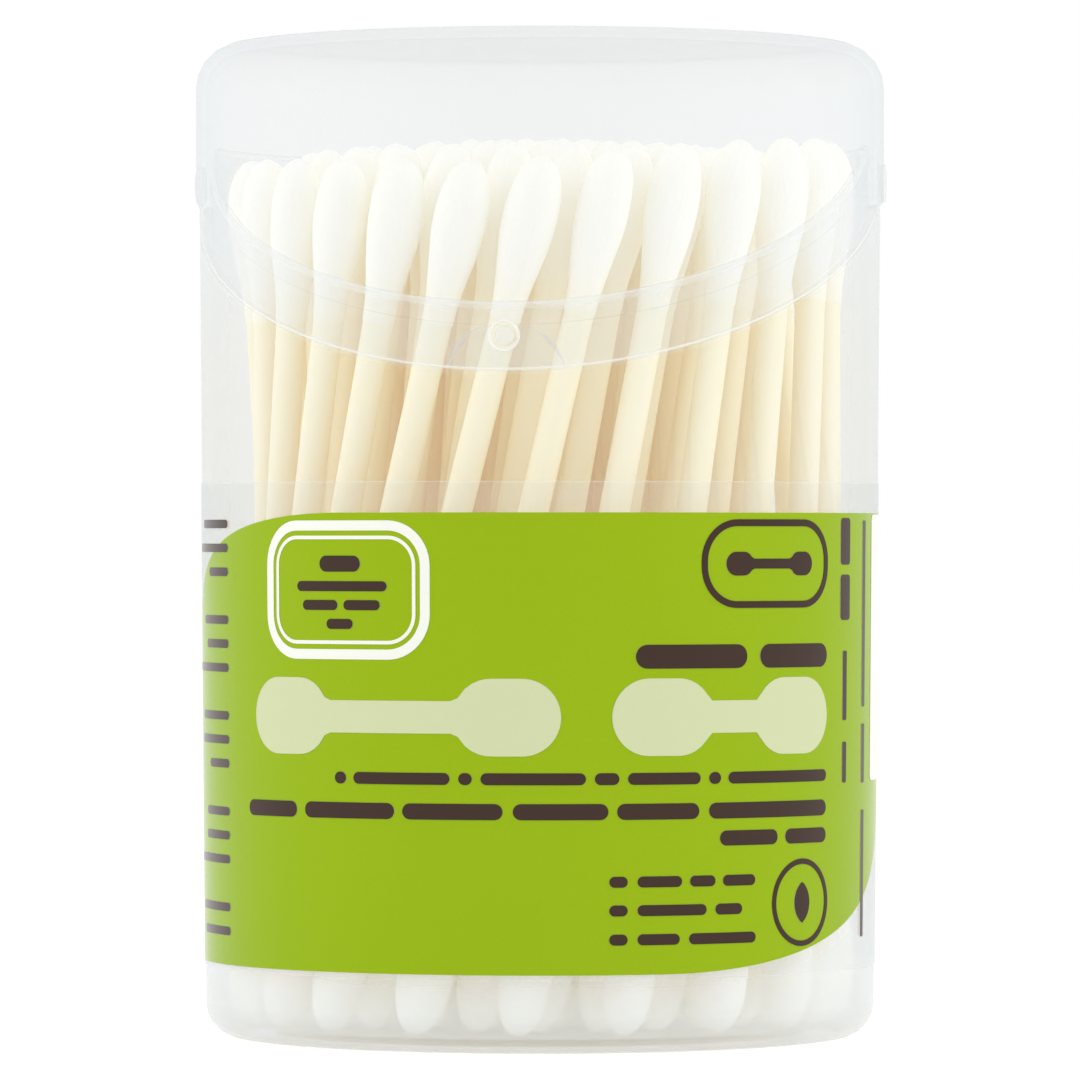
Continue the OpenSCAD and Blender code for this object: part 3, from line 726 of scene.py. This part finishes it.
def box_outline(w, h, r, steps=14, straight=24):
    """Closed outline of a box with round corners: four quarter circles and divided sides."""
    a = np.linspace(0, np.pi / 2, steps)
    turn = a[None] + np.arange(4)[:, None] * np.pi / 2
    mid = np.array([[1, 1], [-1, 1], [-1, -1], [1, -1]]) * [w / 2 - r, h / 2 - r]
    curves = np.stack([np.cos(turn), np.sin(turn)], -1) * r + mid[:, None]
    t = np.linspace(0, 1, straight + 2)[1:-1, None]
    sides = curves[:, -1:] * (1 - t) + np.roll(curves, -1, 0)[:, :1] * t
    return np.concatenate([curves, sides], 1).reshape(-1, 2)


def line_box(tub, label, u, v, w, h, r, line, out):
    """Line round a box with round corners: its outline, and the same drawn in by the line."""
    unit = hundredth(label)
    outer = box_outline(w, h, r) * unit
    inner = box_outline(w - 2 * line, h - 2 * line, r - line) * unit
    top = out + label.ink
    loop = [(outer, out), (outer, top), (inner, top), (inner, out)]
    points = [on_wall(tub, label, u * unit + o[:, 0], v * unit + o[:, 1], d) for o, d in loop]
    return skin(np.stack(points, 1), wrap_u=True, wrap_v=True)


def leaf_field(tub, label):
    """Green field: a band with two elliptic corners, high on the left and low on the right.

    A corner's edge is its height (1 - sqrt(1 - t^2)) in, where t grows from 0 to 1 along its
    width.
    """
    left_w, left_h, right_w, right_h = [hundredth(label) * x for x in (65.2, 24.7, 84.2, 37.5)]
    u = np.linspace(-1, 1, 400) * label.field_half
    left = np.clip((-u - label.field_half) / left_w + 1, 0, 1)
    right = np.clip((u - label.field_half) / right_w + 1, 0, 1)
    high = label.field_h - left_h * (1 - np.sqrt(1 - left ** 2))
    low = right_h * (1 - np.sqrt(1 - right ** 2))
    return slab(tub, label, u, low, high, 2 * label.layer + label.film)


def film_wrap(tub, label):
    """Clear film: one turn round the wall with rounded edges and a seam behind. Its rim of 0.4 on
    the edges paints bright highlight lines there.
    """
    gap = label.seam / 2 / label.radius
    b = label.turn + np.linspace(-np.pi + gap, np.pi - gap, BEARINGS)
    low, high = label.low, label.high
    inner, outer = label.layer, label.layer + label.film
    edge = 0.1 * MM
    rows = [(inner, low), (outer, low), (outer, low + edge), (outer, high - edge), (outer, high),
            (inner, high), (inner, high - edge), (inner, low + edge)]
    points = np.stack([around(wall_r(tub, z) + o, b, z) for o, z in rows], 1)
    return skin(points, wrap_v=True, ends="caps", rim=0.4 * np.array([1, 1, 0, 0, 1, 1, 0, 0]),
                outer=np.array([0, 1, 1, 1, 1, 0, 0, 0]))


# Materials

def fresh(name):
    """Empty node tree of a new material, and the material."""
    material = bpy.data.materials.new(name)
    material.use_nodes = True
    material.node_tree.nodes.clear()
    return material, material.node_tree


def add(tree, kind, sockets=None, out=0, **settings):
    """Adds a shader node, sets or links its inputs, and gives back one of its outputs."""
    node = tree.nodes.new("ShaderNode" + kind)
    for key, value in settings.items():
        setattr(node, key, value)
    for key, value in (sockets or {}).items():
        if isinstance(value, bpy.types.NodeSocket):
            tree.links.new(value, node.inputs[key])
        else:
            node.inputs[key].default_value = value
    return node.outputs[out]


def surfaced(material, shader):
    """The material, once a shader is sent to its output."""
    output = material.node_tree.nodes.new("ShaderNodeOutputMaterial")
    material.node_tree.links.new(shader, output.inputs["Surface"])
    return material


def sums(tree, operation, *terms, clamp=False):
    """Output of a Math node."""
    return add(tree, "Math", dict(enumerate(terms)), operation=operation, use_clamp=clamp)


def noise(tree, scale, detail=3.0, stretch=None, uv=False):
    """Noise on the piece's own coordinates, in cycles a metre, or on its UV map."""
    place = add(tree, "TexCoord", out="UV" if uv else "Object")
    if stretch:
        place = add(tree, "Mapping", {"Vector": place, "Scale": stretch})
    return add(tree, "TexNoise", {"Vector": place, "Scale": scale, "Detail": detail}, out="Fac")


def shaded(rgb, factor):
    """Colour times a factor, with its alpha."""
    return [min(1.0, c * factor) for c in rgb] + [1.0]


def blend(tree, factor, a, b):
    """Colour that goes from a to b with the factor."""
    return add(tree, "Mix", {0: factor, 6: a, 7: b}, out=2, data_type="RGBA")


def bump(tree, height, strength, distance):
    """Normal of a height."""
    return add(tree, "Bump", {"Height": height, "Strength": strength, "Distance": distance})


def point_mark(tree, name):
    """Value of one of the points' marks."""
    return add(tree, "Attribute", out="Fac", attribute_name=name)


def clear_plastic(name, haze_rgb, haze, side_haze, rough, waves=0.1):
    """Thin clear plastic: see-through, with a milky share that grows where it is seen edgeways.

    The milky share is haze (0.8 + 0.4 cloud) + side_haze f^2 + 0.5 rim + 0.5 mist, and the
    shine's is 0.03 + 0.7 f^5, where f is 0 square on and 1 edgeways, and counts outside only.
    The 0.5 rim share, with the veil's whiter colour along the rim, is a painted highlight:
    bright lines along edges and rounded corners.
    """
    material, tree = fresh(name)
    cloud = noise(tree, 110, 1)
    rim, outer, mist = [point_mark(tree, mark) for mark in ("rim", "outer", "mist")]
    facing = add(tree, "LayerWeight", {"Blend": 0.5}, out="Facing")
    f = sums(tree, "MULTIPLY", facing, outer)
    even = sums(tree, "MULTIPLY_ADD", cloud, 0.4 * haze, 0.8 * haze)
    side = sums(tree, "MULTIPLY_ADD", sums(tree, "MULTIPLY", f, f), side_haze, even)
    foot = sums(tree, "MULTIPLY_ADD", mist, 0.5, side)
    # Real milky haze plus the rim's painted highlight, as one share of the veil
    milk_and_highlight = sums(tree, "MULTIPLY_ADD", rim, 0.5, foot, clamp=True)
    edge = sums(tree, "POWER", f, 5.0)
    clear = add(tree, "BsdfTransparent", {
        "Color": blend(tree, edge, (0.984, 0.987, 0.988, 1), (0.86, 0.88, 0.89, 1))})
    # Along the rim the veil turns whiter: a painted highlight
    veil = add(tree, "BsdfPrincipled", {
        "Base Color": blend(tree, rim, shaded(haze_rgb, 1), (0.98, 0.98, 0.95, 1)),
        "Roughness": 0.6, "Specular IOR Level": 0.2})
    body = add(tree, "MixShader", {0: milk_and_highlight, 1: clear, 2: veil})
    shine = add(tree, "BsdfGlossy", {
        "Color": (0.9, 0.915, 0.92, 1), "Roughness": rough,
        "Normal": bump(tree, cloud, waves, 0.0004)})
    gloss = sums(tree, "MULTIPLY_ADD", edge, 0.7, 0.03, clamp=True)
    return surfaced(material, add(tree, "MixShader", {0: gloss, 1: body, 2: shine}))


def ink(name, rgb, grain, gloss):
    """Printed ink: fine print grain, slow patches of thicker and thinner ink, and a gloss on top.

    The inner face, marked by the rim attribute, shows the white that lies under the ink.
    """
    material, tree = fresh(name)
    fine = noise(tree, 5200, 1)
    slow = noise(tree, 60, 2)
    mixed = sums(tree, "ADD", sums(tree, "MULTIPLY", fine, 0.5), sums(tree, "MULTIPLY", slow, 0.5))
    shade = blend(tree, mixed, shaded(rgb, 1 - grain), shaded(rgb, 1 + grain))
    return surfaced(material, add(tree, "BsdfPrincipled", {
        "Base Color": blend(tree, point_mark(tree, "rim"), shade, (0.97, 0.97, 0.96, 1)),
        "Roughness": 0.42, "Specular IOR Level": 0.0,
        "Coat Weight": 1.0, "Coat Roughness": 0.15, "Coat IOR": gloss,
        "Normal": bump(tree, fine, 0.15, 0.00002)}))


def paper(name, rgb):
    """Rolled paper: each stem its own shade, fine lengthwise fibres and one faint spiral seam."""
    material, tree = fresh(name)
    fibres = noise(tree, 8, 3, stretch=(3, 9, 1), uv=True)
    specks = noise(tree, 2400, 2)
    tone = sums(tree, "MULTIPLY_ADD", point_mark(tree, "tint"), 0.5,
                sums(tree, "MULTIPLY", fibres, 0.5))
    u, v, _ = add(tree, "SeparateXYZ", {0: add(tree, "TexCoord", out="UV")}).node.outputs
    spiral = sums(tree, "FRACT", sums(tree, "MULTIPLY_ADD", v, 3.0, u))
    seam = sums(tree, "LESS_THAN", spiral, 0.05)
    height = sums(tree, "MULTIPLY_ADD", seam, -0.5, specks)
    warm = [c * k for c, k in zip(rgb, (0.99, 0.965, 0.88))] + [1.0]
    base = blend(tree, tone, warm, shaded(rgb, 1.0))
    base = blend(tree, sums(tree, "MULTIPLY", seam, 0.25), base, shaded(rgb, 0.82))
    return surfaced(material, add(tree, "BsdfPrincipled", {
        "Base Color": base, "Roughness": 0.75, "Specular IOR Level": 0.25,
        "Normal": bump(tree, height, 0.25, 0.00004)}))


def cotton(name, rgb, stem_rgb):
    """Wound cotton: soft white with a sheen, fibre streaks along the winding and loose fluff.

    Where it thins out, marked by the rim attribute, the stem's own tone shows through it.
    """
    material, tree = fresh(name)
    streaks = noise(tree, 5, 4, stretch=(6, 2.2, 1), uv=True)
    fluff = noise(tree, 1900, 4)
    tone = sums(tree, "MULTIPLY_ADD", point_mark(tree, "tint"), 0.4,
                sums(tree, "MULTIPLY", streaks, 0.6))
    height = sums(tree, "MULTIPLY_ADD", streaks, 1.2, fluff)
    thin = point_mark(tree, "rim")
    frayed = sums(tree, "MULTIPLY_ADD", sums(tree, "SUBTRACT", fluff, 0.5), 0.7, thin, clamp=True)
    through = sums(tree, "MULTIPLY", frayed, thin)
    white = blend(tree, tone, shaded(rgb, 0.985), shaded(rgb, 1.005))
    return surfaced(material, add(tree, "BsdfPrincipled", {
        "Base Color": blend(tree, through, white, shaded(stem_rgb, 1)), "Roughness": 1.0,
        "Specular IOR Level": 0.1, "Sheen Weight": 0.25, "Sheen Roughness": 0.6,
        "Normal": bump(tree, height, 0.35, 0.00012)}))


# Operators

class SWABTUB_OT_tub(bpy.types.Operator):
    """Builds the tub moulding with its catch pad, hinge ears and pin"""
    bl_idname = "swab_tub.tub"
    bl_label = "Tub"

    def execute(self, context):
        scene = context.scene
        tub, lid, look = scene.tub_sizes, scene.lid_sizes, scene.finishes
        plastic = clear_plastic("tub_plastic", look.haze, look.tub_haze, 0.6, 0.12)
        skins = [tub_shell(tub), *catch_pad(tub, lid), *hinge_ears(tub, lid)]
        place_piece("tub_moulding", skins, plastic, "tub", "tub", clear=True)
        return {"FINISHED"}


class SWABTUB_OT_lid(bpy.types.Operator):
    """Builds the lid moulding with its catch hole, side pips and knuckle"""
    bl_idname = "swab_tub.lid"
    bl_label = "Lid"

    def execute(self, context):
        scene = context.scene
        tub, lid, look = scene.tub_sizes, scene.lid_sizes, scene.finishes
        inside, outside = lid.apron_in_r - 1.5 * MM, lid.cap_r + 1 * MM
        # The hole's wall takes the cutter's rim of 0.8, a painted highlight round the catch hole
        cutter = peg(lid.hole_r, inside, outside, (0, 0), (0, 0, hole_height(tub, lid)), (0, -1, 0),
                     rim=0.8, steps=64)
        pips = [peg(lid.pip_r, lid.cap_r - lid.wall / 2, lid.cap_r + lid.pip, (0, 0.15 * MM),
                    (0, 0, tub.edge_z + lid.pip_up), (side, 0, 0), rim=0.1) for side in (-1, 1)]
        plastic = clear_plastic("lid_plastic", look.haze, look.lid_haze, 0.3, 0.16)
        shell = pierced("lid_moulding", lid_shell(tub, lid), cutter)
        fittings = [*pips, knuckle(tub, lid), ring_bead(tub, lid)]
        for name, mesh in (("lid_moulding", shell), ("lid_fittings", fittings)):
            place_piece(name, mesh, plastic, "lid", "lid", clear=True)
        return {"FINISHED"}


class SWABTUB_OT_label(bpy.types.Operator):
    """Builds the label film, the green field and the three further inks"""
    bl_idname = "swab_tub.label"
    bl_label = "Label"

    def execute(self, context):
        scene = context.scene
        tub, label, look = scene.tub_sizes, scene.label_sizes, scene.finishes
        film = clear_plastic("film", look.haze, 0.03, 0.2, 0.1)
        place_piece("label_wrap", [film_wrap(tub, label)], film, "tub", "label_film",
                    clear=True)
        top = label.film + label.ink + 3 * label.layer
        prints = [
            ("green", "green_leaf", "green_field", [leaf_field(tub, label)], 0.05, 1.25),
            ("white", "white_marks", "white_print", self.white(tub, label, top), 0.02, 1.25),
            ("cream", "cream_marks", "cream_print", self.cream(tub, label, top), 0.03, 1.25),
            ("dark", "dark_marks", "dark_print", self.dark(tub, label, top), 0.08, 1.33),
        ]
        for tone, piece, node, skins, grain, gloss in prints:
            finish = ink(f"{tone}_ink", getattr(look, tone), grain, gloss)
            place_piece(piece, skins, finish, "tub", node)
        return {"FINISHED"}

    def white(self, tub, label, top):
        """White ink: the badge's double line and the panel at the right."""
        return [
            line_box(tub, label, -46.2, 83.2, 44, 30.2, 9.8, 2.2, top),
            line_box(tub, label, -46.2, 83.2, 37.5, 23.6, 6.5, 0.8, top),
            marks(tub, label, [(122.3, 70.1, 46.2, 59.2)], top, corner=0.035, steps=90),
        ]

    def cream(self, tub, label, top):
        """Cream ink: two large signs in the outline of a bud."""
        signs = [(-34.2, 55.7, 77.2, 16.8), (44.6, 55.7, 58.2, 16.8)]
        return [marks(tub, label, signs, top, bud_half, steps=70)]

    def dark(self, tub, label, top):
        """Dark ink: bars, the left column, the upright bars, the framed bud and the round sign."""
        bars = [
            (88.9, 3.5, [(-51.6, -40.8)]), (84, 2.2, [(-58.2, -34.2)]),
            (79.9, 2.2, [(-56.5, -46.7), (-45.1, -35.9)]), (75.8, 2.2, [(-49.7, -42.7)]),
            (68.8, 5.2, [(20.7, 47.8), (51.4, 73.6)]),
            (42.4, 2.6, [(-47.6, -44.6), (-42.7, -19.8), (-17.9, -14.9), (-13, 9.8), (11.7, 17.1),
                         (19, 35.9), (38, 41), (42.9, 73.6)]),
            (35.3, 3.5, [(-75.8, -58.7), (-56.2, -32.6), (-30.7, -8.2), (-6, 14.7), (16.6, 35.6),
                         (38, 73.6)]),
            (29.3, 3.3, [(40.8, 56.8), (59.2, 73.6)]),
            (20.1, 2.4, [(14.9, 19), (21.2, 31.5), (33.4, 39.7), (41.6, 50.3)]),
            (13.9, 2.4, [(14.9, 19), (21.2, 37.5), (39.7, 46.7)]),
            (7.6, 2.4, [(14.9, 19), (21.2, 31), (33.2, 50.5)]),
        ]
        rows = [((a + b) / 2, v, b - a, h) for v, h, spans in bars for a, b in spans]
        thin = 1.9
        lines = np.arange(18)
        wide = 19 + 6 * np.sin(np.radians(lines * 137))
        column = np.stack(np.broadcast_arrays(-85.6 - wide / 2, 97.6 - 5.3 * lines, wide, thin), -1)
        upright = [(81.8, 76.4, 10, 4.6), (81.8, 88.6, 10.3, 4.6), (81.8, 54.3, 15.3, thin),
                   (81.8, 40.5, 9, thin), (92.9, 57.1, 41.3, thin), (92.9, 40.2, 13.1, thin),
                   (92.9, 6, 28.2, thin)]
        upright = [(u, v + h / 2, w, h) for u, v, h, w in upright]
        sign_u, sign_v, leaf_r = 64.9, 14.7, 5.2 * hundredth(label)
        leaf_u, leaf_v = sign_u * hundredth(label), sign_v * hundredth(label)
        lens = np.linspace(-0.495, 0.495, 24) * leaf_r
        half = np.sqrt(leaf_r ** 2 - (np.abs(lens) + leaf_r / 2) ** 2)
        return [
            marks(tub, label, rows, top),
            marks(tub, label, column[lines % 4 != 3], top),
            marks(tub, label, upright, top, corner=0.2),
            line_box(tub, label, 54.9, 88.9, 37.8, 19.3, 9, 1.5, top),
            marks(tub, label, [(54.9, 88.9, 25.5, 5.2)], top, bud_half, steps=50),
            line_box(tub, label, sign_u, sign_v, 19.2, 19.2, 9.59, 1.2, top),
            slab(tub, label, leaf_u + lens, leaf_v - half, leaf_v + half, top),
        ]


class SWABTUB_OT_buds(bpy.types.Operator):
    """Builds the rings of buds: paper stems and the wound cotton at both ends"""
    bl_idname = "swab_tub.buds"
    bl_label = "Buds"

    def execute(self, context):
        buds, look = context.scene.bud_sizes, context.scene.finishes
        wound, rolled = cotton("cotton", look.cotton, look.paper), paper("rolled_paper", look.paper)
        rng = np.random.default_rng(11)
        for k in range(RINGS):
            groups = [
                ("paper_stems", "stems_ring", "paper_stem", rolled, stems(buds, k, rng), 60),
                ("upper_cotton", "top_tips_ring", "cotton", wound, tips(buds, k, True, rng), 80),
                ("lower_cotton", "bottom_tips_ring", "cotton", wound, tips(buds, k, False, rng), 80),
            ]
            for name, node, slot, finish, shape, sharp in groups:
                place_piece(f"{name}_{k}", [shape], finish, "tub", f"{node}_{k}", sharp)
        return {"FINISHED"}


class SWABTUB_OT_stage(bpy.types.Operator):
    """Sets the white floor, the soft studio light and the camera"""
    bl_idname = "swab_tub.stage"
    bl_label = "Stage"

    def execute(self, context):
        scene = context.scene
        scene.view_settings.view_transform = "Standard"
        cycles = scene.cycles
        cycles.max_bounces, cycles.diffuse_bounces, cycles.transparent_max_bounces = 64, 48, 40
        cycles.use_light_tree = False
        self.world(scene)
        self.floor()
        self.lamp("left_light", -72)
        self.lamp("right_light", 74)
        lens = bpy.data.cameras.new("camera")
        lens.lens, lens.sensor_width, lens.clip_start, lens.clip_end = 266.7, 36, 0.01, 50
        scene.camera = self.stand(lens, distance=0.665, degrees=5.9, height=0.0411)
        return {"FINISHED"}

    def stand(self, data, distance, degrees, height, tilt=0):
        """Puts a lamp or camera on a bearing, faced to the middle and tipped down by the tilt."""
        item = bpy.data.objects.new(data.name, data)
        bearing = math.radians(degrees)
        item.location = around(distance, bearing, height)
        item.rotation_euler = (math.pi / 2 - tilt, 0, bearing)
        bpy.context.scene.collection.objects.link(item)
        return item

    def lamp(self, name, degrees, distance=0.96, height=0.45, size=0.9, power=2.8):
        """Large soft lamp on a bearing, aimed at the tub's foot."""
        light = bpy.data.lights.new(name, "AREA")
        light.shape, light.size, light.energy = "SQUARE", size, power
        item = self.stand(light, distance, degrees, height, math.atan(height / distance))
        item.visible_camera = item.visible_glossy = False

    def seen(self, tree):
        """One for rays from the camera, and for those through or off clear plastic, else nought."""
        path = add(tree, "LightPath").node.outputs
        plastic = sums(tree, "MAXIMUM", path["Is Glossy Ray"], path["Is Transmission Ray"])
        return sums(tree, "MAXIMUM", path["Is Camera Ray"], plastic)

    def world(self, scene):
        """White world, which the camera sees at 1 and which lights the object a little less."""
        light = 0.88
        world = bpy.data.worlds.new("studio")
        scene.world = world
        world.use_nodes = True
        world.cycles.sampling_method = "NONE"
        tree = world.node_tree
        tree.nodes.clear()
        strength = sums(tree, "MULTIPLY_ADD", self.seen(tree), 1 - light, light)
        back = add(tree, "Background", {"Color": (1, 1, 1, 1), "Strength": strength})
        output = tree.nodes.new("ShaderNodeOutputWorld")
        tree.links.new(back, output.inputs["Surface"])

    def floor(self):
        """Wide white floor, a flat grid. What the camera sees of it is half matt and half glow."""
        light, seen_matt, seen_glow = 0.93, 0.5, 0.6
        side = np.linspace(-6, 6, 3)
        points = np.stack(np.meshgrid(side, side, [0.0], indexing="ij"), -1)[:, :, 0]
        ground = bpy.data.objects.new("floor", mesh_from("floor", [skin(points)]))
        material, tree = fresh("white_floor")
        seen = self.seen(tree)
        matt = add(tree, "BsdfDiffuse", {
            "Color": sums(tree, "MULTIPLY_ADD", seen, seen_matt - light, light)})
        glow = add(tree, "Emission", {
            "Color": (1, 1, 1, 1), "Strength": sums(tree, "MULTIPLY", seen, seen_glow)})
        both = add(tree, "AddShader", {0: matt, 1: glow})
        ground.data.materials.append(surfaced(material, both))
        bpy.context.scene.collection.objects.link(ground)


class SWABTUB_PT_panel(bpy.types.Panel):
    """Sidebar panel with the sizes, the finishes and the steps"""
    bl_idname = "SWABTUB_PT_panel"
    bl_label = "Swab tub"
    bl_space_type = "VIEW_3D"
    bl_region_type = "UI"
    bl_category = "Swab tub"

    def draw(self, context):
        for operator in STEPS:
            self.layout.operator(operator.bl_idname)
        for name, group in GROUPS.items():
            box = self.layout.box()
            box.label(text=group.__doc__)
            for key in group.__annotations__:
                box.prop(getattr(context.scene, name), key)


STEPS = [SWABTUB_OT_tub, SWABTUB_OT_lid, SWABTUB_OT_label, SWABTUB_OT_buds, SWABTUB_OT_stage]
GROUPS = {"tub_sizes": TubSizes, "lid_sizes": LidSizes, "bud_sizes": BudSizes,
          "label_sizes": LabelSizes, "finishes": Finishes}
CLASSES = [*GROUPS.values(), *STEPS, SWABTUB_PT_panel]


def register():
    """Registers the property groups, the operators and the panel."""
    for item in CLASSES:
        bpy.utils.register_class(item)
    for name, group in GROUPS.items():
        setattr(bpy.types.Scene, name, bpy.props.PointerProperty(type=group))


def unregister():
    """Takes the classes out again."""
    for name in GROUPS:
        delattr(bpy.types.Scene, name)
    for item in reversed(CLASSES):
        bpy.utils.unregister_class(item)


def main():
    """Builds every piece and the stage."""
    register()
    bpy.ops.swab_tub.tub()
    bpy.ops.swab_tub.lid()
    bpy.ops.swab_tub.label()
    bpy.ops.swab_tub.buds()
    bpy.ops.swab_tub.stage()


if __name__ == "__main__":
    main()
